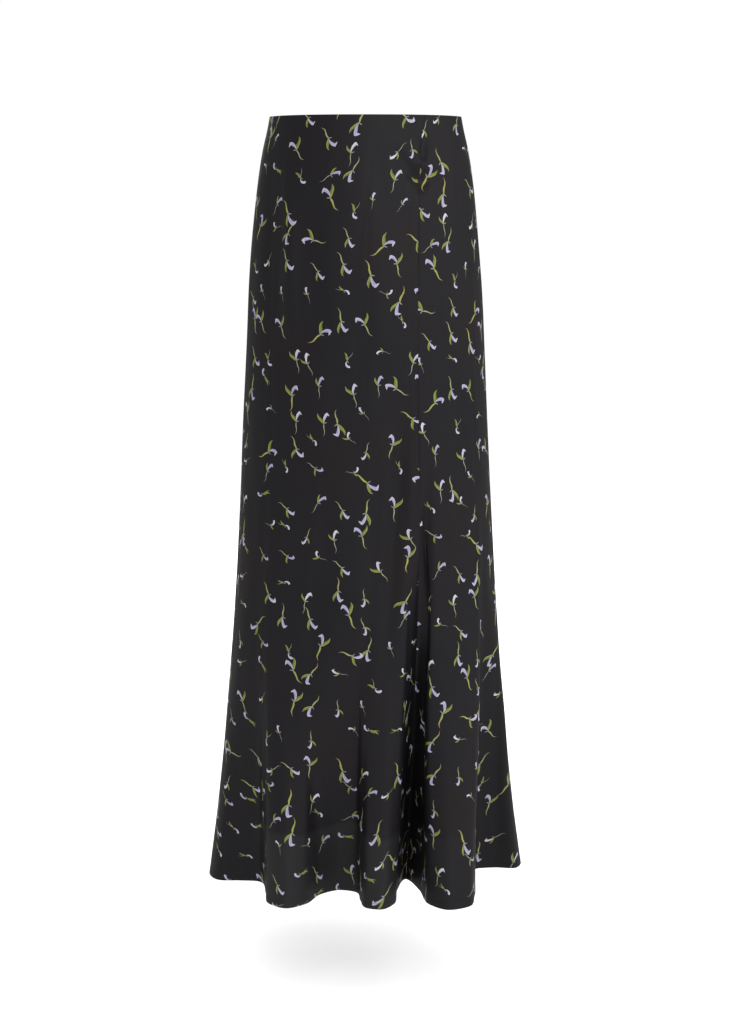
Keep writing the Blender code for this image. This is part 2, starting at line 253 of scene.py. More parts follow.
# Stitches of the two hems. Each is thinner at its shoulders, comes to a point at both ends and lies a little
# sunk in the cloth.
STITCH_PITCH = 0.0030
STITCH_LENGTH = 0.0024
STITCH_THICKNESS = 0.00042
STITCH_SIDES = 6
STITCH_SHOULDER = 0.62
STITCH_SWELL = 0.85
STITCH_SUNK = 0.2 * STITCH_THICKNESS
LINING_STITCH = 0.0110

# The sprigs that chance picks from, one for each square of the print, in millimetres and degrees. aside and
# up move a sprig from the middle of its square, and turn is the petal's direction. leaf is how far the leaf
# lies to the petal's right, and tail how far the tail lies to its left. mirrored is 1 for a mirrored sprig.
# tone is how pale the petal is, bend how straight it is, and toe how much of its turned tip it has.
PRINT_SQUARE = 35.5
Sprig = namedtuple("Sprig", "aside up turn leaf tail size mirrored leaf_size tail_breadth tone bend toe")
PRINT_CHART = (
    Sprig(-8, 5, 262, 34, 176, 1.05, 0, 0.95, 0.75, 0.45, 0.70, 0.90),
    Sprig(-12, -3, 281, 41, 184, 0.80, 1, 0.80, 0.55, 0.60, 0.45, 0.75),
    Sprig(7, 8, 128, 52, 168, 0.65, 0, 0.60, 0.10, 0.80, 0.30, 0.60),
    Sprig(3, -9, 82, 38, 190, 1.15, 1, 1.00, 0.95, 0.35, 0.15, 0.85),
    Sprig(9, -6, 98, 46, 172, 1.00, 1, 1.00, 0.40, 0.70, 0.55, 0.70),
    Sprig(10, 7, 338, 60, 160, 0.70, 0, 0.65, 0.15, 0.90, 0.10, 0.35),
    Sprig(-9, -8, 274, 30, 181, 1.20, 0, 0.90, 1.00, 0.40, 0.80, 1.00),
    Sprig(-4, 10, 205, 150, 196, 0.85, 1, 1.00, 0.20, 0.55, 0.00, 0.20),
    Sprig(-6, 9, 222, 36, 178, 0.75, 1, 0.75, 0.10, 0.85, 0.50, 0.80),
    Sprig(-10, -4, 108, 44, 188, 1.10, 0, 1.00, 0.60, 0.50, 0.35, 0.95),
    Sprig(4, 3, 66, 33, 170, 0.95, 1, 0.80, 0.25, 0.30, 0.60, 0.65),
    Sprig(11, -5, 286, 48, 186, 1.05, 0, 0.90, 0.85, 0.60, 0.20, 0.90),
    Sprig(6, -9, 258, 42, 172, 1.15, 0, 1.00, 0.90, 0.35, 0.65, 1.00),
    Sprig(-3, 8, 15, 128, 205, 0.68, 1, 0.85, 0.15, 0.75, 0.05, 0.25),
    Sprig(10, -7, 246, 37, 183, 0.90, 1, 0.70, 0.30, 0.95, 0.45, 0.70),
    Sprig(-12, 2, 84, 50, 176, 1.05, 0, 0.95, 0.70, 0.45, 0.30, 0.85),
    Sprig(-11, 4, 118, 39, 194, 0.72, 1, 0.60, 0.05, 0.65, 0.55, 0.55),
    Sprig(-7, -10, 268, 35, 175, 1.12, 1, 1.00, 0.80, 0.50, 0.75, 0.95),
    Sprig(2, 7, 301, 57, 182, 0.82, 0, 0.80, 0.45, 0.30, 0.25, 0.75),
    Sprig(8, 9, 172, 45, 165, 0.70, 1, 0.85, 0.10, 0.85, 0.10, 0.40),
    Sprig(10, 8, 76, 31, 187, 1.15, 0, 1.00, 1.00, 0.40, 0.40, 0.90),
    Sprig(5, -6, 236, 135, 178, 0.80, 0, 0.90, 0.20, 0.70, 0.00, 0.15),
    Sprig(-8, -9, 94, 47, 171, 1.00, 1, 0.75, 0.35, 0.90, 0.50, 0.80),
    Sprig(2, -3, 271, 40, 189, 0.92, 0, 0.90, 0.65, 0.55, 0.85, 0.85),
)

# What 1 stands for where a ramp holds a place or a size of the chart.
PLACE_SPAN = 40.0
SIZE_SPAN = 2.0

# How far a sprig strays from its chart place and direction, so that no repeat shows, and the steps in column
# and row that give each layer other sprigs.
PRINT_STRAY = 6.0
PRINT_STRAY_TURN = math.radians(80)
LAYER_STEPS = (7.3, 13.3)

# The strokes that make a sprig, in millimetres. The powers shape a stroke's two ends: under 1 is blunt.
Stroke = namedtuple("Stroke", "radius length half_width base_power tip_power sway")
PETAL = Stroke(5.5, 13.5, 1.80, 0.95, 0.28, 0.0)
TOE = Stroke(12.0, 5.0, 1.35, 0.20, 0.95, 0.0)
LEAF = Stroke(20.0, 15.0, 1.85, 0.60, 1.00, 0.6)
TAIL = Stroke(22.0, 17.0, 1.0185, 0.30, 0.90, 0.9)
SPUR = Stroke(12.0, 4.5, 0.50, 0.45, 0.90, 0.0)
STRAIGHTER_PETAL = 15.0
TOE_START = 0.88
TOE_TURN = math.radians(72)
SMALLEST_TOE = 0.35
THIN_TAIL = 0.30
SPUR_TURN = -1.2
STROKE_SOFTNESS = 0.16
LEAST_WIDTH = 0.01
BRUSH_WANDER = 0.7
BRUSH_WANDER_SCALE = 0.32
MILLIMETRES = 1000.0

# The sprigs' colours that aren't settings, and how the colours share a stroke. A pair is a gain and a start.
FIXED_COLOURS = {
    "vein": (0.05, 0.062, 0.012),
    "tendril": (0.20, 0.205, 0.19),
    "tail": (0.20, 0.21, 0.05),
    "rust": (0.22, 0.11, 0.035),
}
LEAF_LIGHT = (0.55, 0.40)
VEIN_WIDTH = 0.13
VEIN_SHARE = 0.6
RUST_POWER = 3.0
PALE_PETAL = (1.5, -0.50)
PALE_EDGE = 0.35
PALE_TOE = 0.45
PRINT_ON_BACK = 0.30

# The satin's ground, and where a painted backlight lies: a lighter tone below the lining, on the lobes,
# except on the right, that stands in for light coming through the satin.
DRIFT_SCALE = 9.0
DRIFT_GAIN = 1.6
UNLINED_WANDER = 0.036
UNLINED_WANDER_SCALE = 16.0
UNLINED_SOFTNESS = 0.007
UNLINED_MIDDLE_Y = 0.01
UNLINED_LOBE = 0.055
UNLINED_LOBE_SOFTNESS = 0.025
UNLINED_END_X = 0.135
UNLINED_END_SOFTNESS = 0.10
WORN_SCALE = 26.0
WORN_ROUGHNESS = (0.10, 0.50)

# The lining's and the thread's tones, and the weaves.
LINING_DRIFT_SCALE = 24.0
LINING_LIGHTER = 1.5
THREAD_DARK = (0.004, 0.004, 0.004)
THREAD_LIGHT = (0.009, 0.009, 0.010)
TWIST_SCALE = 900.0
Weave = namedtuple("Weave", "scale detail strength height")
SATIN_WEAVE = Weave((5200.0, 900.0, 0.0), 2.0, 0.35, 0.00003)
BACK_WEAVE = Weave((2600.0, 2600.0, 0.0), 2.0, 0.5, 0.00004)
LINING_WEAVE = Weave((3000.0, 3000.0, 900.0), 1.0, 0.3, 0.00003)

# How a material's nodes are laid out.
NODES_IN_ROW = 24
NODE_WIDTH = 190
NODE_HEIGHT = 260

# The studio.
FLOOR_CLEARANCE = 0.11
FLOOR_RADIUS = 30.0
FLOOR_SIDES = 96
FLOOR_GLOW = 0.12
FLOOR_TONES = ((0.90, 0.90, 0.90), (0.92, 0.92, 0.92))
FLOOR_CLOUD_SCALE = 1.5
WHITE = (1.0, 1.0, 1.0)
CAMERA_PLACE = (0.0, -2.7, -0.06)
CAMERA_PITCH = math.radians(90 - 8.9575)
CAMERA_LENS = 77.17
SENSOR_WIDTH = 36.0

StudioLight = namedtuple("StudioLight", "name place aim size power")
STUDIO_LIGHTS = (
    StudioLight("key light", (1.8, -2.4, 0.9), (0.0, 0.0, -0.40), (2.6, 2.2), 38.0),
    StudioLight("side light", (2.7, -0.5, 0.7), (0.0, 0.0, -0.40), (2.0, 2.2), 26.0),
    StudioLight("front light", (0.3, -3.3, 1.3), (0.0, 0.0, -0.40), (2.2, 1.6), 34.0),
    StudioLight("back light", (-0.5, 3.0, 1.0), (0.0, 0.0, -0.45), (2.2, 2.0), 70.0),
)


def through_knots(at, knots, values):
    """Values at the places at, on a smooth curve through the knots. The slope at a knot is the weighted mean
    of the slopes beside it."""
    knots = np.asarray(knots, float)
    values = np.asarray(values, float)
    step = np.diff(knots)
    slope = np.diff(values) / step
    inner = (slope[:-1] * step[1:] + slope[1:] * step[:-1]) / (step[:-1] + step[1:])
    tangent = np.concatenate(([slope[0]], inner, [slope[-1]]))
    low = np.clip(np.searchsorted(knots, at, side="right") - 1, 0, len(step) - 1)
    width = step[low]
    t = (at - knots[low]) / width
    rise = 3 * t**2 - 2 * t**3
    return (
        values[low] * (1 - rise)
        + values[low + 1] * rise
        + tangent[low] * width * (t**3 - 2 * t**2 + t)
        + tangent[low + 1] * width * (t**3 - t**2)
    )


def hem_knots():
    """The place of each fold line around the hem, in metres of straight chords, and the whole way round."""
    places = np.array([(line.hem_x, line.hem_y) for line in FOLD_LINES])
    chords = np.linalg.norm(np.roll(places, -1, axis=0) - places, axis=1)
    return np.concatenate(([0.0], np.cumsum(chords)[:-1])), chords.sum()


KNOTS, HEM_ROUND = hem_knots()
SEAM_PLACES = {line.name: place for line, place in zip(FOLD_LINES, KNOTS)}


def fold_value(field, around, turn=0.0):
    """A column of the fold lines at places around the hem. turn is what the column gains in a whole turn."""
    column = np.array([getattr(line, field) for line in FOLD_LINES], float)
    knots = np.concatenate((KNOTS - HEM_ROUND, KNOTS, KNOTS + HEM_ROUND))
    values = np.concatenate((column - turn, column, column + turn))
    return through_knots(around, knots, values)


def body_place(bearing, drop):
    """A point's x and y on the body without folds."""
    drops = [section.drop for section in SECTIONS]
    half_width, front, back = (
        through_knots(drop, drops, [getattr(section, field) for section in SECTIONS])
        for field in ("half_width", "front", "back")
    )
    reach = np.where(np.cos(bearing) > 0, front, back)
    return half_width * np.sin(bearing), -reach * np.cos(bearing)


def fold_share(around, drop):
    """How far a point has left the body for its hem place, from 0 to 1."""
    start = fold_value("start", around)
    return np.clip((drop - start) / (LENGTH - start), 0, 1) ** FOLD_GROWTH


def smooth_surface(around, drop):
    """The cloth's outer points with its folds and without its pucker."""
    thigh = np.radians(fold_value("thigh_bearing", around, turn=FULL_TURN))
    waist = np.radians(fold_value("waist_bearing", around, turn=FULL_TURN))
    bearing = thigh + (waist - thigh) * np.exp(-drop / LEAN_DROP)
    x, y = body_place(bearing, drop)
    hem_x, hem_y = body_place(thigh, np.full_like(drop, LENGTH))
    share = fold_share(around, drop)
    x = x + share * (fold_value("hem_x", around) - hem_x)
    y = y + share * (fold_value("hem_y", around) - hem_y)
    dip = EDGE_DIP * np.sin(bearing) ** EDGE_DIP_POWER * np.clip(1 - drop / EDGE_DIP_REACH, 0, 1)
    return np.stack((x, y, -drop - dip), axis=-1)


def tangent_and_normal(around, drop):
    """The smooth surface's unit tangent around the skirt and its outward normal."""
    ahead = smooth_surface(around + DIFFERENCE, drop) - smooth_surface(around - DIFFERENCE, drop)
    below = smooth_surface(around, drop + DIFFERENCE) - smooth_surface(around, drop - DIFFERENCE)
    tangent = ahead / np.linalg.norm(ahead, axis=-1, keepdims=True)
    normal = np.cross(below, ahead)
    return tangent, normal / np.linalg.norm(normal, axis=-1, keepdims=True)


def pucker_press(points, drop):
    """How far the pucker on the front seam presses the cloth in."""
    aside = (points[..., 0] - PUCKER_X) / PUCKER_WIDTH
    away = (drop - PUCKER_DROP) / PUCKER_HEIGHT
    front = points[..., 1] < 0
    return PUCKER_DEPTH * np.exp(-(aside**2) - away**2) * front


def round_edge(distance, radius):
    """How far an edge curls away at a distance from its end: a quarter circle."""
    reach = np.clip(1 - distance / radius, 0, 1)
    return radius * (1 - np.sqrt(1 - reach**2))


def smooth_step(value, low, high):
    """From 0 at low to 1 at high, level at both ends."""
    t = np.clip((value - low) / (high - low), 0, 1)
    return t * t * (3 - 2 * t)


def crease_height(creases, x, drop):
    """What a row of creases adds to the cloth's height, outward."""
    height = np.zeros_like(x)
    for crease in creases:
        run = np.array((crease.end_x - crease.x, crease.end_drop - crease.drop))
        length = np.linalg.norm(run)
        along, over = run / length
        t = ((x - crease.x) * along + (drop - crease.drop) * over) / length
        off = (x - crease.x) * over - (drop - crease.drop) * along
        off = off - crease.bend * 4 * t * (1 - t)
        fade = np.sin(math.pi * np.clip(t, 0, 1)) ** CREASE_FADE
        height = height - crease.depth * fade * np.exp(-((off / crease.width) ** 2))
    return height


def all_creases(points, drop):
    """What the front's and the back's creases add to the cloth's height."""
    x, y = points[..., 0], points[..., 1]
    front = crease_height(FRONT_CREASES, x, drop) * smooth_step(-y, 0.0, FACE_BLEND)
    back = crease_height(BACK_CREASES, x, drop) * smooth_step(y, 0.0, FACE_BLEND)
    return front + back


def swell_height(around, drop):
    """What the slow swells of the cloth add to its height. They fade out at the waist."""
    height = np.zeros_like(around)
    turn = 2 * math.pi * around / HEM_ROUND
    sway = SWELL_SWAY * np.sin(drop / SWELL_SWAY_DROP)
    for swell in SWELLS:
        wave = np.sin(swell.waves * turn + swell.start + sway)
        height = height + swell.height * wave * np.cos(2 * math.pi * drop / swell.down + swell.start)
    return height * smooth_step(drop, 0.0, SWELL_TOP)


def panel_rows():
    """Drops of a panel's rows: close together at the two edges and at the hem's stitches."""
    top = np.array(EDGE_ROWS)
    hem = LENGTH - np.array(EDGE_ROWS + HEM_ROWS)[::-1]
    count = round((hem[0] - top[-1]) / ROW_SPACING)
    return np.concatenate((top, np.linspace(top[-1], hem[0], count + 1)[1:-1], hem))


def panel_columns(width, count):
    """Distances from the first seam across a panel, close together beside both seams."""
    seam = np.array(SEAM_COLUMNS)
    middle = np.linspace(seam[-1], width - seam[-1], count)[1:-1]
    return np.concatenate((seam, middle, width - seam[::-1]))


Sheet = namedtuple("Sheet", "outer inner normal tangent aside drop")


def lengths_along(points):
    """How far each point lies along its row, measured from point to point."""
    steps = np.linalg.norm(np.diff(points, axis=-2), axis=-1)
    return np.concatenate((np.zeros_like(steps[..., :1]), np.cumsum(steps, axis=-1)), axis=-1)


def stitch_dent(from_hem, stitch):
    """How far a row of stitches at its distance from the hem draws the cloth in."""
    return STITCH_DENT * np.exp(-(((from_hem - stitch) / STITCH_DENT_WIDTH) ** 2))


def seam_places(panel):
    """Where the panel's two seams lie around the hem."""
    first = SEAM_PLACES[panel.first_seam]
    last = SEAM_PLACES[panel.last_seam]
    return first, last + HEM_ROUND if last <= first else last


def panel_sheet(panel, drops, columns):
    """The panel's cloth at the given drops. columns gives the distances from the first seam for a width."""
    first, last = seam_places(panel)
    fine = np.linspace(first, last, FINE_PLACES)
    drop, around = np.meshgrid(drops, fine, indexing="ij")
    along = lengths_along(smooth_surface(around, drop))
    width = along[:, -1:]
    distance = np.stack([columns(row[-1]) for row in along])
    around = np.stack([np.interp(spots, row, fine) for spots, row in zip(distance, along)])
    drop = np.broadcast_to(np.asarray(drops)[:, None], around.shape)
    points = smooth_surface(around, drop)
    tangent, normal = tangent_and_normal(around, drop)
    aside = distance - width / 2
    from_hem = LENGTH - drop
    from_seam = np.minimum(distance, width - distance)
    turned = 1 - smooth_step(from_hem, HEM_TURN, HEM_TURN + TURN_STEP)
    turned = np.maximum(turned, 1 - smooth_step(drop, TOP_TURN, TOP_TURN + TURN_STEP))
    thickness = CLOTH_THICKNESS + (TURNED_THICKNESS - CLOTH_THICKNESS) * turned
    ends = round_edge(np.minimum(drop, from_hem), TURNED_THICKNESS / 2)
    hem_swell = HEM_SWELL * (1 - smooth_step(from_hem, HEM_STITCH, HEM_STITCH + 2 * TURN_STEP))
    height = (
        all_creases(points, drop)
        + swell_height(around, drop)
        + hem_swell
        - stitch_dent(from_hem, HEM_STITCH)
        - pucker_press(points, drop)
        - round_edge(from_seam, SEAM_ROLL)
        - ends
    )
    gap = SEAM_OPENING * np.sign(width / 2 - distance)
    gap = gap * (from_seam < SEAM_COLUMNS[1] / 2)
    outer = points + normal * height[..., None] + tangent * gap[..., None]
    inner = outer - normal * (thickness - ends)[..., None]
    return Sheet(outer, inner, normal, tangent, aside, drop)


def lining_depth(drop):
    """How far the lining's outer face lies inside the satin's."""
    return CLOTH_WALL + SEAM_GAP + through_knots(drop, LINING_EASE_DROPS, LINING_EASE)


def lining_sheet(drops, columns):
    """The lining's cloth at the given drops, all the way round. Its folds are the satin's."""
    first = SEAM_PLACES["left seam"]
    around = first + HEM_ROUND * np.arange(columns) / columns
    drop, around = np.meshgrid(drops, around, indexing="ij")
    points = smooth_surface(around, drop)
    tangent, normal = tangent_and_normal(around, drop)
    dents = pucker_press(points, drop) - np.minimum(all_creases(points, drop), 0)
    from_hem = LINING_LENGTH - drop
    turned = 1 - smooth_step(from_hem, LINING_STITCH + TURN_STEP, LINING_STITCH + 2 * TURN_STEP)
    ends = round_edge(np.minimum(drop - LINING_TOP, from_hem), LINING_TURNED / 2)
    depth = lining_depth(drop) + dents + stitch_dent(from_hem, LINING_STITCH) + ends
    outer = points - normal * depth[..., None]
    thickness = LINING_THICKNESS + (LINING_TURNED - LINING_THICKNESS) * turned
    inner = outer - normal * (thickness - ends)[..., None]
    return Sheet(outer, inner, normal, tangent, np.zeros_like(drop), drop)


def link_piece(name, data):
    """A new object with the mesh, in the scene's collection and on the skirt's one body."""
    piece = bpy.data.objects.new(name, data)
    bpy.context.scene.collection.objects.link(piece)
    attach(piece, "root")
    return piece


def cloth_mesh(name, sheet, closed, shift=(0.0, 0.0)):
    """A thin shell from a sheet's two faces. A closed sheet runs all the way round. The mesh's map keeps each
    point's place on the flat cloth."""
    count = sheet.drop.size
    index = np.arange(count).reshape(sheet.drop.shape)
    beside = np.roll(index, -1, axis=1) if closed else index[:, 1:]
    here = index if closed else index[:, :-1]
    outer = np.stack((here[:-1], here[1:], beside[1:], beside[:-1]), axis=-1).reshape(-1, 4)
    inner = outer[:, ::-1] + count
    edges = [(here[0], beside[0]), (beside[-1], here[-1])]
    if not closed:
        edges += [(index[1:, 0], index[:-1, 0]), (index[:-1, -1], index[1:, -1])]
    rims = [np.stack((start, end, end + count, start + count), axis=-1) for start, end in edges]
    faces = np.concatenate([outer, inner] + rims)
    points = np.concatenate((sheet.outer.reshape(-1, 3), sheet.inner.reshape(-1, 3)))
    data = bpy.data.meshes.new(name)
    data.vertices.add(len(points))
    data.vertices.foreach_set("co", points.astype(np.float32).ravel())
    data.loops.add(faces.size)
    data.loops.foreach_set("vertex_index", faces.astype(np.int32).ravel())
    data.polygons.add(len(faces))
    data.polygons.foreach_set("loop_start", np.arange(0, faces.size, 4, dtype=np.int32))
    data.update(calc_edges=True)
    flat = np.stack((sheet.aside + shift[0], shift[1] - sheet.drop), axis=-1).reshape(-1, 2)
    flat = np.concatenate((flat, flat))
    layer = data.uv_layers.new(name=CLOTH_MAP)
    layer.data.foreach_set("uv", flat[faces.ravel()].astype(np.float32).ravel())
    data.validate()
    data.shade_smooth()
    return data


def paint_inside(data, sheet):
    """Gives the inner face the cloth's back, except on the turned hem, where the printed side shows again."""
    back = LENGTH - sheet.drop[:-1, :-1] > HEM_TURN
    slots = np.zeros(len(data.polygons), np.int32)
    slots[back.size:2 * back.size] = back.ravel()
    data.polygons.foreach_set("material_index", slots)


class Tree:
    """A node tree that is filled step by step. A value may be a number or another node's output."""

    def __init__(self, tree):
        self.tree = tree

    def add(self, kind, inputs=(), output=0, **settings):
        node = self.tree.nodes.new(kind)
        row, column = divmod(len(self.tree.nodes), NODES_IN_ROW)
        node.location = (column * NODE_WIDTH, -row * NODE_HEIGHT)
        for name, value in settings.items():
            setattr(node, name, value)
        for socket, value in inputs:
            if isinstance(value, bpy.types.NodeSocket):
                self.link(value, node.inputs[socket])
            else:
                node.inputs[socket].default_value = value
        return node.outputs[output]

    def link(self, value, socket):
        self.tree.links.new(value, socket)

    def give(self, sockets, *values):
        """Links the values to the group's results in order. Returns the tree."""
        for value, socket in zip(values, sockets):
            self.link(value, socket)
        return self.tree

    def group(self, tree, inputs):
        return self.add("ShaderNodeGroup", inputs.items(), node_tree=tree).node.outputs

    def math(self, operation, *values, clamp=False):
        return self.add("ShaderNodeMath", tuple(enumerate(values)), operation=operation, use_clamp=clamp)

    def held(self, value):
        """The value held between 0 and 1."""
        return self.math("ADD", value, 0.0, clamp=True)

    def plus(self, first, second):
        return self.math("ADD", first, second)

    def minus(self, first, second):
        return self.math("SUBTRACT", first, second)

    def times(self, first, second):
        return self.math("MULTIPLY", first, second)

    def fit(self, value, gain, start, clamp=False):
        """The value times the gain, plus the start."""
        return self.math("MULTIPLY_ADD", value, gain, start, clamp=clamp)

    def share(self, value, whole):
        """The value as a share of the whole, held between 0 and 1."""
        return self.math("DIVIDE", value, whole, clamp=True)

    def vector(self, operation, *values):
        return self.add("ShaderNodeVectorMath", tuple(enumerate(values)), "Vector", operation=operation)

    def scaled(self, vector, scale):
        return self.add("ShaderNodeVectorMath", ((0, vector), ("Scale", scale)), "Vector", operation="SCALE")

    def shrunk(self, vector, size):
        """The vector's x and y divided by a size."""
        return self.vector("DIVIDE", vector, self.join(size, size, 1.0))

    def turned(self, vector, angle):
        pairs = (("Vector", vector), ("Angle", angle))
        return self.add("ShaderNodeVectorRotate", pairs, rotation_type="Z_AXIS")

    def join(self, x, y, z=0.0):
        return self.add("ShaderNodeCombineXYZ", ((0, x), (1, y), (2, z)))

    def split(self, vector):
        return self.add("ShaderNodeSeparateXYZ", ((0, vector),)).node.outputs

    def mix(self, factor, first, second):
        pairs = ((0, factor), (6, first), (7, second))
        return self.add("ShaderNodeMix", pairs, 2, data_type="RGBA")

    def noise(self, place, scale, detail=2.0, dimensions="2D", output="Fac"):
        pairs = (("Vector", place), ("Scale", scale), ("Detail", detail))
        return self.add("ShaderNodeTexNoise", pairs, output, noise_dimensions=dimensions)

    def chance(self, place, output):
        return self.add("ShaderNodeTexWhiteNoise", (("Vector", place),), output, noise_dimensions="2D")

    def body(self):
        """The place on the skirt itself, in metres."""
        return self.add("ShaderNodeTexCoord", output="Object")

    def cloth(self):
        """The place on the flat cut cloth, in metres."""
        return self.add("ShaderNodeUVMap", output="UV", uv_map=CLOTH_MAP)


PAINT = (("Colour", "Color"), ("Cover", "Float"))


def new_group(name, numbers=(), outputs=PAINT):
    """An empty node group that takes a place and some numbers: its filler and the sockets at its two ends."""
    tree = bpy.data.node_groups.new(name, "ShaderNodeTree")
    sockets = [("Place", "INPUT", "Vector")]
    sockets += [(label, "INPUT", "Float") for label in numbers]
    sockets += [(label, "OUTPUT", kind) for label, kind in outputs]
    for label, side, kind in sockets:
        tree.interface.new_socket(name=label, in_out=side, socket_type="NodeSocket" + kind)
    start = tree.nodes.new("NodeGroupInput")
    end = tree.nodes.new("NodeGroupOutput")
    return Tree(tree), start.outputs, end.inputs


def stroke_group():
    """One brush stroke of the print: a tapered band along an arc that starts at the origin along x."""
    make, given, result = new_group(
        "printed stroke", ("Radius", "Length", "Half Width", "Base Power", "Tip Power", "Sway"),
        (("Cover", "Float"), ("Along", "Float"), ("Side", "Float")),
    )
    x, y = make.split(given["Place"])[:2]
    reach = make.minus(given["Radius"], y)
    arc = make.times(make.math("ARCTAN2", x, reach), given["Radius"])
    along = make.math("DIVIDE", arc, given["Length"])
    from_centre = make.math("SQRT", make.plus(make.math("POWER", x, 2.0), make.math("POWER", reach, 2.0)))
    wave = make.math("SINE", make.times(along, 2 * math.pi))
    off = make.plus(make.minus(from_centre, given["Radius"]), make.times(wave, given["Sway"]))
    t = make.held(along)
    base = make.math("POWER", t, given["Base Power"])
    tip = make.math("POWER", make.minus(1.0, t), given["Tip Power"])
    width = make.times(make.times(base, tip), given["Half Width"])
    cover = make.share(make.minus(width, make.math("ABSOLUTE", off)), STROKE_SOFTNESS)
    side = make.math("DIVIDE", off, make.math("MAXIMUM", width, LEAST_WIDTH))
    return make.give(result, cover, along, side)


def stroke_inputs(stroke, place):
    """The inputs of a stroke. Its half width is given to the powers as the width of its widest place."""
    peak = stroke.base_power / (stroke.base_power + stroke.tip_power)
    widest = peak**stroke.base_power * (1 - peak) ** stroke.tip_power
    return {
        "Place": place,
        "Radius": stroke.radius,
        "Length": stroke.length,
        "Half Width": stroke.half_width / widest,
        "Base Power": stroke.base_power,
        "Tip Power": stroke.tip_power,
        "Sway": stroke.sway,
    }


def sprig_group(stroke_tree, colours):
    """A sprig of a petal with its toe, a leaf, a tail and a spur that meet at the origin, in millimetres."""
    make, given, result = new_group(
        "printed sprig", ("Leaf Turn", "Tail Turn", "Leaf Size", "Tail Breadth", "Tone", "Bend", "Toe")
    )

    def draw(inputs):
        return make.group(stroke_tree, inputs)

    origin, breadth = given["Place"], given["Tail Breadth"]
    radius = make.fit(given["Bend"], STRAIGHTER_PETAL, PETAL.radius)
    turned_by = make.math("DIVIDE", TOE_START * PETAL.length, radius)
    rise = make.minus(radius, make.times(radius, make.math("COSINE", turned_by)))
    ankle = make.join(make.times(radius, make.math("SINE", turned_by)), rise)
    toe_place = make.turned(make.vector("SUBTRACT", origin, ankle), make.minus(-TOE_TURN, turned_by))
    toe_place = make.shrunk(toe_place, make.fit(given["Toe"], 1 - SMALLEST_TOE, SMALLEST_TOE))
    leaf_place = make.shrunk(make.turned(origin, given["Leaf Turn"]), given["Leaf Size"])
    tail_inputs = stroke_inputs(TAIL, make.turned(origin, make.times(given["Tail Turn"], -1.0)))
    full = tail_inputs["Half Width"]
    tail_inputs["Half Width"] = make.fit(breadth, full * (1 - THIN_TAIL), full * THIN_TAIL)
    petal = draw({**stroke_inputs(PETAL, origin), "Radius": radius})
    toe = draw(stroke_inputs(TOE, toe_place))
    leaf = draw(stroke_inputs(LEAF, leaf_place))
    tail = draw(tail_inputs)
    spur = draw(stroke_inputs(SPUR, make.turned(origin, SPUR_TURN)))

    leaf_light = make.fit(leaf["Side"], *LEAF_LIGHT, clamp=True)
    leaf_colour = make.mix(leaf_light, colours["leaf"], colours["leaf_light"])
    vein = make.math("LESS_THAN", make.math("ABSOLUTE", leaf["Side"]), VEIN_WIDTH)
    leaf_colour = make.mix(make.times(vein, VEIN_SHARE), leaf_colour, colours["vein"])
    tail_colour = make.mix(breadth, colours["tendril"], colours["tail"])
    rust = make.math("POWER", make.held(tail["Along"]), RUST_POWER)
    tail_colour = make.mix(make.times(rust, breadth), tail_colour, colours["rust"])
    pale = make.fit(petal["Side"], PALE_EDGE, make.fit(given["Tone"], *PALE_PETAL), clamp=True)
    petal_colour = make.mix(pale, colours["petal"], colours["petal_light"])
    toe_colour = make.mix(PALE_TOE, petal_colour, colours["petal_light"])

    colour, cover = colours["tendril"], spur["Cover"]
    for stroke, paint in ((tail, tail_colour), (leaf, leaf_colour), (petal, petal_colour), (toe, toe_colour)):
        colour = make.mix(stroke["Cover"], colour, paint)
        cover = make.math("MAXIMUM", cover, stroke["Cover"])
    return make.give(result, colour, cover)


def chart_ramp(make, factor, rows):
    """A ramp without blending that holds four numbers for each sprig of the chart."""
    node = make.add("ShaderNodeValToRGB", (("Fac", factor),)).node
    ramp = node.color_ramp
    ramp.interpolation = "CONSTANT"
    while len(ramp.elements) < len(rows):
        ramp.elements.new(1.0)
    for place, row in enumerate(rows):
        ramp.elements[place].position = place / len(rows)
        ramp.elements[place].color = row
    parts = make.add("ShaderNodeSeparateColor", ((0, node.outputs["Color"]),)).node.outputs
    return parts[0], parts[1], parts[2], node.outputs["Alpha"]


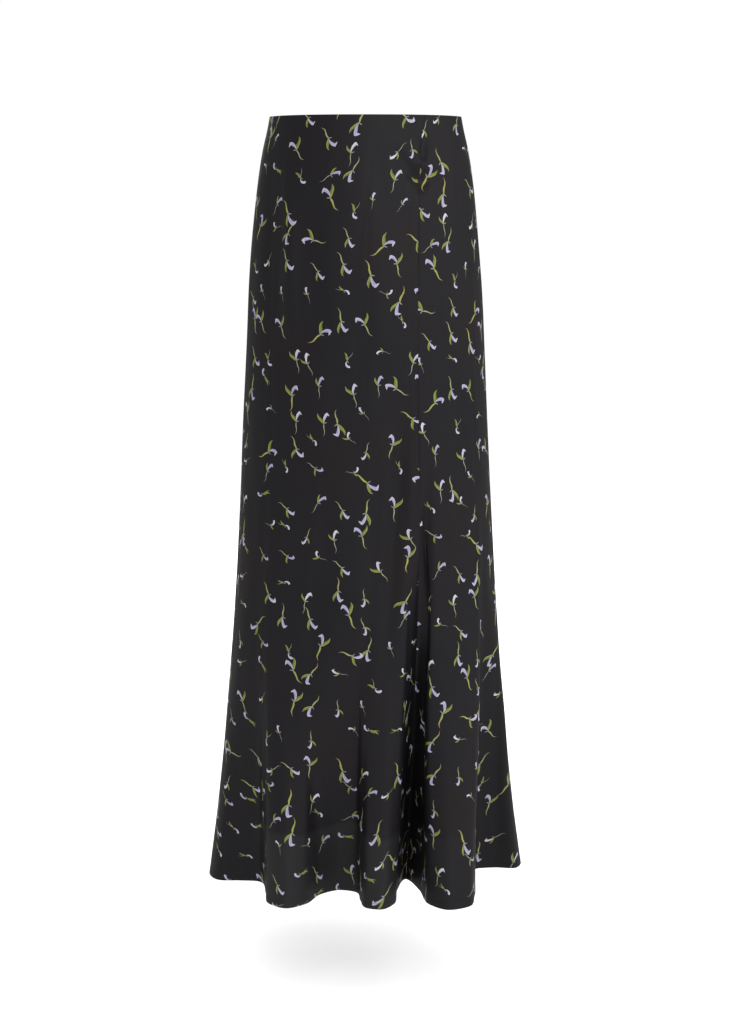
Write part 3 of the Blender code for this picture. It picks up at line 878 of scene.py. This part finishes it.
def print_layer_group(sprig_tree, odd_column, odd_row):
    """One layer of the print: one sprig to each block of two by two squares, so that a sprig may reach over
    into the squares beside its own. Chance picks it from the chart."""
    make, given, result = new_group(f"print layer {odd_column} {odd_row}")
    block = 2 * PRINT_SQUARE
    place = make.vector("ADD", given["Place"], (-odd_column * PRINT_SQUARE, -odd_row * PRINT_SQUARE, 0.0))
    place = make.scaled(place, 1 / block)
    start = (LAYER_STEPS[0] * odd_column + 0.5, LAYER_STEPS[1] * odd_row + 0.5, 0.0)
    number = make.vector("ADD", make.vector("FLOOR", place), start)
    pick = make.chance(number, "Value")
    stray = make.vector("SUBTRACT", make.chance(number, "Color"), (0.5, 0.5, 0.5))
    inside = make.scaled(make.vector("SUBTRACT", make.vector("FRACTION", place), (0.5, 0.5, 0.0)), block)

    aside, up, turn, mirrored = chart_ramp(make, pick, [
        (s.aside / PLACE_SPAN + 0.5, s.up / PLACE_SPAN + 0.5, s.turn / FULL_TURN, float(s.mirrored))
        for s in PRINT_CHART
    ])
    leaf_turn, tail_turn, size, bend = chart_ramp(make, pick, [
        (s.leaf / HALF_TURN, s.tail / FULL_TURN, s.size / SIZE_SPAN, s.bend) for s in PRINT_CHART
    ])
    leaf_size, tail_breadth, tone, toe = chart_ramp(make, pick, [
        (s.leaf_size, s.tail_breadth, s.tone, s.toe) for s in PRINT_CHART
    ])
    aside, up = (make.fit(value, PLACE_SPAN, -PLACE_SPAN / 2) for value in (aside, up))
    local = make.vector("SUBTRACT", inside, make.join(aside, up))
    local = make.vector("ADD", local, make.vector("MULTIPLY", stray, (PRINT_STRAY, PRINT_STRAY, 0.0)))
    stray_turn = make.times(make.split(stray)[2], PRINT_STRAY_TURN)
    local = make.turned(local, make.fit(turn, -2 * math.pi, stray_turn))
    local = make.vector("MULTIPLY", local, make.join(1.0, make.fit(mirrored, -2.0, 1.0)))
    sprig = make.group(sprig_tree, {
        "Place": make.shrunk(local, make.times(size, SIZE_SPAN)),
        "Leaf Turn": make.times(leaf_turn, math.pi),
        "Tail Turn": make.times(tail_turn, 2 * math.pi),
        "Leaf Size": leaf_size,
        "Tail Breadth": tail_breadth,
        "Tone": tone,
        "Bend": bend,
        "Toe": toe,
    })
    return make.give(result, sprig["Colour"], sprig["Cover"])


def print_group(colours):
    """The whole print: four layers of sprigs. Its place is the cut cloth's map, in metres."""
    make, given, result = new_group("sprig print")
    place = make.scaled(given["Place"], MILLIMETRES)
    wander = make.noise(place, BRUSH_WANDER_SCALE, output="Color")
    wander = make.scaled(make.vector("SUBTRACT", wander, (0.5, 0.5, 0.5)), BRUSH_WANDER)
    place = make.vector("ADD", place, wander)
    sprig_tree = sprig_group(stroke_group(), colours)
    first, *others = (
        make.group(print_layer_group(sprig_tree, odd_column, odd_row), {"Place": place})
        for odd_column in (0, 1)
        for odd_row in (0, 1)
    )
    colour, cover = first["Colour"], first["Cover"]
    for layer in others:
        colour = make.mix(layer["Cover"], colour, layer["Colour"])
        cover = make.math("MAXIMUM", cover, layer["Cover"])
    return make.give(result, colour, cover)


def opaque(colour, brightness=1.0):
    """A colour as a shader takes it."""
    return (*(brightness * part for part in colour), 1.0)


def new_material(name, roughness, specular, gloss=0.0, gloss_roughness=0.4):
    """A material, its filler and its shader's sockets. gloss is the share of a smooth coat, which keeps the
    mirrored rims of a dark cloth low."""
    material = bpy.data.materials.new(name)
    material.use_nodes = True
    sockets = material.node_tree.nodes["Principled BSDF"].inputs
    sockets["Roughness"].default_value = roughness
    sockets["Specular IOR Level"].default_value = specular
    sockets["Coat Weight"].default_value = gloss
    sockets["Coat Roughness"].default_value = gloss_roughness
    return material, Tree(material.node_tree), sockets


def add_weave(make, sockets, place, weave, dimensions="2D"):
    """Fine floats of the weave as a bump: noise drawn out along the cloth's length."""
    floats = make.noise(make.vector("MULTIPLY", place, weave.scale), 1.0, weave.detail, dimensions)
    pairs = (("Height", floats), ("Strength", weave.strength), ("Distance", weave.height))
    bump = make.add("ShaderNodeBump", pairs, "Normal")
    make.link(bump, sockets["Normal"])
    make.link(bump, sockets["Coat Normal"])


def satin_ground_with_painted_backlight(make, place, settings):
    """The satin's own colour, near black and warmer and cooler by turns, with a painted backlight: a lighter
    tone below the lining that stands in for light coming through the satin.
    """
    drift = make.fit(make.noise(place, DRIFT_SCALE), DRIFT_GAIN, (1 - DRIFT_GAIN) / 2, clamp=True)
    ground = make.mix(drift, opaque(settings.satin_warm), opaque(settings.satin_cool))
    body = make.body()
    x, y, z = make.split(body)
    # Painted backlight: a mask below the lining's hem, on the lobes and away from the right side, where light
    # through the satin is painted as a lighter tone.
    level = make.vector("MULTIPLY", body, (1.0, 1.0, 0.0))
    level = make.noise(level, UNLINED_WANDER_SCALE, 0.0, "3D")
    level = make.fit(level, UNLINED_WANDER, -UNLINED_WANDER / 2)
    below = make.share(make.minus(-LINING_LENGTH, make.plus(z, level)), UNLINED_SOFTNESS)
    off_middle = make.math("ABSOLUTE", make.minus(y, UNLINED_MIDDLE_Y))
    lobe = make.share(make.minus(off_middle, UNLINED_LOBE), UNLINED_LOBE_SOFTNESS)
    aside = make.share(make.minus(UNLINED_END_X, x), UNLINED_END_SOFTNESS)
    painted_backlight_mask = make.times(make.times(below, lobe), aside)
    return make.mix(painted_backlight_mask, ground, opaque(settings.satin_painted_backlight))


def satin_material(settings, print_tree):
    """The printed face of the satin."""
    material, make, sockets = new_material(
        "printed satin", roughness=0.55, specular=0.0, gloss=settings.satin_gloss, gloss_roughness=0.48
    )
    place = make.cloth()
    # ground holds the satin's own colour together with its painted backlight below the lining.
    ground = satin_ground_with_painted_backlight(make, place, settings)
    printed = make.group(print_tree, {"Place": place})
    make.link(make.mix(printed["Cover"], ground, printed["Colour"]), sockets["Base Color"])
    make.link(make.fit(make.noise(place, WORN_SCALE, 3.0), *WORN_ROUGHNESS), sockets["Roughness"])
    add_weave(make, sockets, place, SATIN_WEAVE)
    return material


def satin_back_material(settings, print_tree):
    """The dull back of the satin, where the print shows through faintly."""
    material, make, sockets = new_material("satin back", roughness=0.65, specular=0.05)
    place = make.cloth()
    printed = make.group(print_tree, {"Place": place})
    faint = make.times(printed["Cover"], PRINT_ON_BACK)
    make.link(make.mix(faint, opaque(settings.satin_back), printed["Colour"]), sockets["Base Color"])
    add_weave(make, sockets, place, BACK_WEAVE)
    return material


def lining_material(settings):
    """Plain black lining, thin and smooth."""
    material, make, sockets = new_material("lining cloth", roughness=0.42, specular=0.40)
    body = make.body()
    drift = make.noise(body, LINING_DRIFT_SCALE, 3.0, "3D")
    light = opaque(settings.lining_colour, LINING_LIGHTER)
    make.link(make.mix(drift, opaque(settings.lining_colour), light), sockets["Base Color"])
    add_weave(make, sockets, body, LINING_WEAVE, "3D")
    return material


def thread_material():
    """Black sewing thread with its twist."""
    material, make, sockets = new_material("sewing thread", roughness=0.6, specular=0.15)
    pairs = (("Vector", make.body()), ("Scale", TWIST_SCALE), ("Distortion", 1.0))
    twist = make.add("ShaderNodeTexWave", pairs, "Fac", bands_direction="DIAGONAL")
    make.link(make.mix(twist, opaque(THREAD_DARK), opaque(THREAD_LIGHT)), sockets["Base Color"])
    return material


def stitch_mesh(name, runs):
    """Rows of stitches as one mesh. Each run gives the stitches' middles, directions and outward normals."""
    turns = 2 * math.pi * np.arange(STITCH_SIDES) / STITCH_SIDES
    ring = np.stack((np.cos(turns), np.sin(turns)), axis=-1) * STITCH_SWELL * STITCH_THICKNESS / 2
    half = STITCH_LENGTH / 2
    form = [(-half, 0.0, 0.0)]
    for reach in (-STITCH_SHOULDER * half, STITCH_SHOULDER * half):
        form += [(reach, up, side) for up, side in ring]
    form = np.array(form + [(half, 0.0, 0.0)])
    n = STITCH_SIDES
    faces = []
    for k in range(n):
        after = (k + 1) % n
        faces.append((0, 1 + after, 1 + k))
        faces.append((1 + k, 1 + after, 1 + n + after, 1 + n + k))
        faces.append((1 + n + k, 1 + n + after, 2 * n + 1))
    points, polygons = [], []
    for middles, directions, normals in runs:
        sides = np.cross(directions, normals)
        for middle, direction, normal, side in zip(middles, directions, normals, sides):
            start = len(points) * len(form)
            points.append(middle + form @ np.stack((direction, normal, side)))
            polygons.extend(tuple(start + corner for corner in face) for face in faces)
    data = bpy.data.meshes.new(name)
    data.from_pydata(np.concatenate(points).tolist(), [], polygons)
    data.update()
    data.shade_smooth()
    return data


def stitch_spots(width):
    """Where the middles of a row of stitches lie along a width."""
    count = int(width / STITCH_PITCH)
    return (np.arange(count) + 0.5) * width / count


def hem_runs():
    """Where the skirt's hem stitches lie, on the outside and on the inside of each panel."""
    runs = []
    for panel in PANELS:
        sheet = panel_sheet(panel, [LENGTH - HEM_STITCH], stitch_spots)
        normal, tangent = sheet.normal[0], sheet.tangent[0]
        runs.append((sheet.outer[0] + normal * STITCH_SUNK, tangent, normal))
        runs.append((sheet.inner[0] - normal * STITCH_SUNK, tangent, -normal))
    return runs


def lining_runs():
    """Where the lining's hem stitches lie, on its two faces."""
    drop = LINING_LENGTH - LINING_STITCH
    fine = SEAM_PLACES["left seam"] + HEM_ROUND * np.arange(FINE_PLACES + 1) / FINE_PLACES
    along = lengths_along(smooth_surface(fine, np.full_like(fine, drop)))
    spots = np.interp(stitch_spots(along[-1]), along, fine)
    place = np.full_like(spots, drop)
    points = smooth_surface(spots, place)
    tangent, normal = tangent_and_normal(spots, place)
    depth = lining_depth(place) + STITCH_DENT
    outer = points - normal * (depth - STITCH_SUNK)[:, None]
    inner = points - normal * (depth + LINING_TURNED + STITCH_SUNK)[:, None]
    return [(outer, tangent, normal), (inner, tangent, -normal)]


class SatinSettings(bpy.types.PropertyGroup):
    """Colours and gloss of the printed satin and the lining."""

    satin_warm: bpy.props.FloatVectorProperty(
        name="Warm ground", description="The satin's darker, warmer black",
        default=(0.0078, 0.0057, 0.0067), subtype="COLOR", min=0.0, max=1.0,
    )
    satin_cool: bpy.props.FloatVectorProperty(
        name="Cool ground", description="The satin's cooler black",
        default=(0.0050, 0.0054, 0.0066), subtype="COLOR", min=0.0, max=1.0,
    )
    # Painted backlight: a lighter tone that stands in for light coming through the satin below the lining.
    satin_painted_backlight: bpy.props.FloatVectorProperty(
        name="Painted backlight", description="The satin where light comes through it, below the lining",
        default=(0.0105, 0.0105, 0.0115), subtype="COLOR", min=0.0, max=1.0,
    )
    satin_back: bpy.props.FloatVectorProperty(
        name="Back", description="The dull back of the satin",
        default=(0.020, 0.020, 0.022), subtype="COLOR", min=0.0, max=1.0,
    )
    satin_gloss: bpy.props.FloatProperty(
        name="Gloss", description="How much light the satin's face mirrors", default=0.20, min=0.0, max=1.0,
        subtype="FACTOR",
    )
    petal: bpy.props.FloatVectorProperty(
        name="Petal", description="Lilac of the petals", default=(0.205, 0.195, 0.31), subtype="COLOR",
        min=0.0, max=1.0,
    )
    petal_light: bpy.props.FloatVectorProperty(
        name="Petal edge", description="Near-white of the petals' outer edges", default=(0.37, 0.365, 0.39),
        subtype="COLOR", min=0.0, max=1.0,
    )
    leaf: bpy.props.FloatVectorProperty(
        name="Leaf", description="Olive of the leaves", default=(0.098, 0.108, 0.014), subtype="COLOR",
        min=0.0, max=1.0,
    )
    leaf_light: bpy.props.FloatVectorProperty(
        name="Leaf light", description="Lighter half of the leaves", default=(0.190, 0.198, 0.050),
        subtype="COLOR", min=0.0, max=1.0,
    )
    lining_colour: bpy.props.FloatVectorProperty(
        name="Lining", description="The lining's black", default=(0.013, 0.013, 0.014), subtype="COLOR",
        min=0.0, max=1.0,
    )

    def print_colours(self):
        """The print's colours by name."""
        chosen = {name: getattr(self, name) for name in ("petal", "petal_light", "leaf", "leaf_light")}
        return {name: opaque(colour) for name, colour in {**FIXED_COLOURS, **chosen}.items()}


class StudioSettings(bpy.types.PropertyGroup):
    """The floor and the light around the skirt."""

    floor_clearance: bpy.props.FloatProperty(
        name="Floor below hem", description="How far the floor lies below the hem", default=FLOOR_CLEARANCE,
        min=0.0, unit="LENGTH",
    )
    surround: bpy.props.FloatProperty(
        name="Surround", description="Brightness of the white surround", default=1.0, min=0.0, max=2.0,
    )
    lamp_share: bpy.props.FloatProperty(
        name="Lamps", description="Brightness of the soft lamps, as a share of their full power", default=1.0,
        min=0.0, max=4.0, subtype="FACTOR",
    )


class SKIRT_OT_cloth(bpy.types.Operator):
    """Add the three satin panels on the skirt's form"""

    bl_idname = "skirt.cloth"
    bl_label = "Satin Panels"

    def execute(self, context):
        settings = context.scene.skirt_satin
        print_tree = print_group(settings.print_colours())
        face = satin_material(settings, print_tree)
        back = satin_back_material(settings, print_tree)
        for panel in PANELS:
            sheet = panel_sheet(panel, panel_rows(), partial(panel_columns, count=panel.columns))
            data = cloth_mesh(panel.piece, sheet, False, panel.print_shift)
            data.materials.append(face)
            data.materials.append(back)
            paint_inside(data, sheet)
            piece = link_piece(panel.piece, data)
            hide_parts(panel.node)
        return {"FINISHED"}


class SKIRT_OT_lining(bpy.types.Operator):
    """Add the lining inside the satin"""

    bl_idname = "skirt.lining"
    bl_label = "Lining"

    def execute(self, context):
        count = round((LINING_LENGTH - LINING_TOP) / LINING_ROW_SPACING)
        hem = LINING_LENGTH - np.array(LINING_HEM_ROWS)[::-1]
        rows = np.concatenate((np.linspace(LINING_TOP, hem[0], count)[:-1], hem))
        data = cloth_mesh("lining_cloth", lining_sheet(rows, LINING_COLUMNS), True)
        data.materials.append(lining_material(context.scene.skirt_satin))
        piece = link_piece("lining_cloth", data)
        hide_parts("lining")
        return {"FINISHED"}


class SKIRT_OT_stitches(bpy.types.Operator):
    """Add the stitches of the skirt's hem and the lining's hem"""

    bl_idname = "skirt.stitches"
    bl_label = "Hem Stitches"

    def execute(self, context):
        thread = thread_material()
        for name, runs, slot in (
            ("hem_stitches", hem_runs(), "printed_satin"),
            ("lining_stitches", lining_runs(), "lining_cloth"),
        ):
            data = stitch_mesh(name, runs)
            data.materials.append(thread)
            piece = link_piece(name, data)
        return {"FINISHED"}


class SKIRT_OT_studio(bpy.types.Operator):
    """Add the floor, the soft lamps, the white surround and the camera"""

    bl_idname = "skirt.studio"
    bl_label = "Studio"

    def execute(self, context):
        settings = context.scene.skirt_studio
        self.add_floor(context, settings)
        self.add_surround(context, settings)
        for lamp in STUDIO_LIGHTS:
            self.add_lamp(context, lamp, settings.lamp_share)
        self.add_camera(context)
        context.scene.view_settings.view_transform = "Standard"
        return {"FINISHED"}

    def add_floor(self, context, settings):
        bpy.ops.mesh.primitive_circle_add(
            vertices=FLOOR_SIDES, radius=FLOOR_RADIUS, fill_type="NGON",
            location=(0.0, 0.0, -LENGTH - settings.floor_clearance),
        )
        floor = context.object
        floor.name = "studio_floor"
        material, make, sockets = new_material("studio floor", roughness=0.9, specular=0.1)
        cloud = make.noise(make.body(), FLOOR_CLOUD_SCALE, dimensions="3D")
        make.link(make.mix(cloud, *(opaque(tone) for tone in FLOOR_TONES)), sockets["Base Color"])
        sockets["Emission Color"].default_value = opaque(WHITE)
        sockets["Emission Strength"].default_value = FLOOR_GLOW
        floor.data.materials.append(material)

    def add_surround(self, context, settings):
        world = bpy.data.worlds.new("white surround")
        world.use_nodes = True
        sockets = world.node_tree.nodes["Background"].inputs
        sockets["Color"].default_value = opaque(WHITE)
        sockets["Strength"].default_value = settings.surround
        context.scene.world = world

    def add_lamp(self, context, lamp, share):
        data = bpy.data.lights.new(lamp.name, "AREA")
        data.shape = "RECTANGLE"
        data.size, data.size_y = lamp.size
        data.energy = lamp.power * share
        thing = bpy.data.objects.new(lamp.name, data)
        thing.location = lamp.place
        aim = np.subtract(lamp.aim, lamp.place)
        pan = math.atan2(-aim[0], aim[1])
        tilt = math.atan2(math.hypot(aim[0], aim[1]), -aim[2])
        thing.rotation_euler = (tilt, 0.0, pan)
        context.scene.collection.objects.link(thing)

    def add_camera(self, context):
        data = bpy.data.cameras.new("photo camera")
        data.lens = CAMERA_LENS
        data.sensor_width = SENSOR_WIDTH
        camera = bpy.data.objects.new("photo camera", data)
        camera.location = CAMERA_PLACE
        camera.rotation_euler = (CAMERA_PITCH, 0.0, 0.0)
        context.scene.collection.objects.link(camera)
        context.scene.camera = camera


class SKIRT_PT_sidebar(bpy.types.Panel):
    """Lists the skirt's pieces and settings in the sidebar"""

    bl_idname = "SKIRT_PT_sidebar"
    bl_label = "Midi Skirt"
    bl_space_type = "VIEW_3D"
    bl_region_type = "UI"
    bl_category = "Skirt"

    def draw(self, context):
        column = self.layout.column()
        for settings in (context.scene.skirt_satin, context.scene.skirt_studio):
            for name in settings.__annotations__:
                column.prop(settings, name)
        for operator in OPERATORS:
            column.operator(operator.bl_idname)


OPERATORS = (SKIRT_OT_studio, SKIRT_OT_cloth, SKIRT_OT_lining, SKIRT_OT_stitches)
CLASSES = (SatinSettings, StudioSettings) + OPERATORS + (SKIRT_PT_sidebar,)


def register():
    for item in CLASSES:
        bpy.utils.register_class(item)
    bpy.types.Scene.skirt_satin = bpy.props.PointerProperty(type=SatinSettings)
    bpy.types.Scene.skirt_studio = bpy.props.PointerProperty(type=StudioSettings)


def unregister():
    del bpy.types.Scene.skirt_studio
    del bpy.types.Scene.skirt_satin
    for item in reversed(CLASSES):
        bpy.utils.unregister_class(item)


def main():
    register()
    bpy.ops.skirt.studio()
    bpy.ops.skirt.cloth()
    bpy.ops.skirt.lining()
    bpy.ops.skirt.stitches()


if __name__ == "__main__":
    main()
